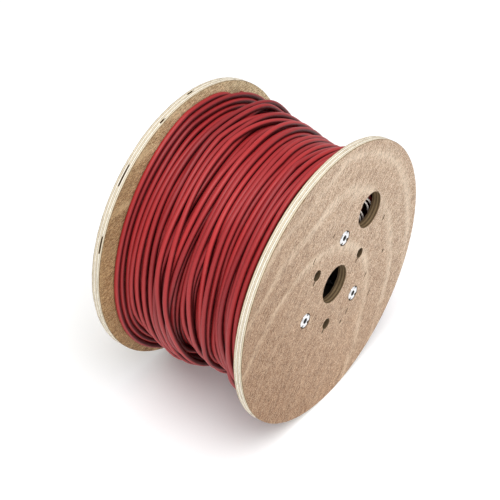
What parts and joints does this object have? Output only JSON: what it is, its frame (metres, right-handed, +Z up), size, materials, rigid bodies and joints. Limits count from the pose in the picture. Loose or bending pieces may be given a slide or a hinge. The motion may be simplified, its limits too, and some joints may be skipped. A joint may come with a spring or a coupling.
{
  "type": "cable drum",
  "caption": "Plywood drum with two round flanges, a barrel tube and a wound red cable, standing on its rims.",
  "frame": {"origin": "on the resting surface, under the middle of the object's box", "axes": "+Z up; Y is the drum's axis, and -Y faces out of the flange with the start hole and the T-nuts"},
  "size_m": [0.38, 0.2352, 0.38],
  "materials": {
    "plywood": "unsanded rotary-cut veneer faces, pale cut edges",
    "kraft_tube": "spiral-wound brown kraft board",
    "zinc_steel": "bright zinc plate",
    "cable_sheath": "satin extruded plastic",
    "core_insulation": "matt light grey plastic"
  },
  "bodies": {
    "root": {"flange_near": "plywood", "flange_far": "plywood", "barrel_tube": "kraft_tube", "tie_bolt_1": "zinc_steel", "tie_bolt_2": "zinc_steel", "tie_bolt_3": "zinc_steel", "washer_1": "zinc_steel", "washer_2": "zinc_steel", "washer_3": "zinc_steel", "t_nut_1": "zinc_steel", "t_nut_2": "zinc_steel", "t_nut_3": "zinc_steel", "outer_end_staple": "zinc_steel", "cable_winding": "cable_sheath", "cable_winding_near": "cable_sheath", "cable_inner_end": "cable_sheath", "cable_outer_end": "cable_sheath", "inner_end_core_1": "core_insulation", "inner_end_core_2": "core_insulation", "inner_end_core_3": "core_insulation", "inner_end_core_4": "core_insulation"}
  },
  "joints": []
}
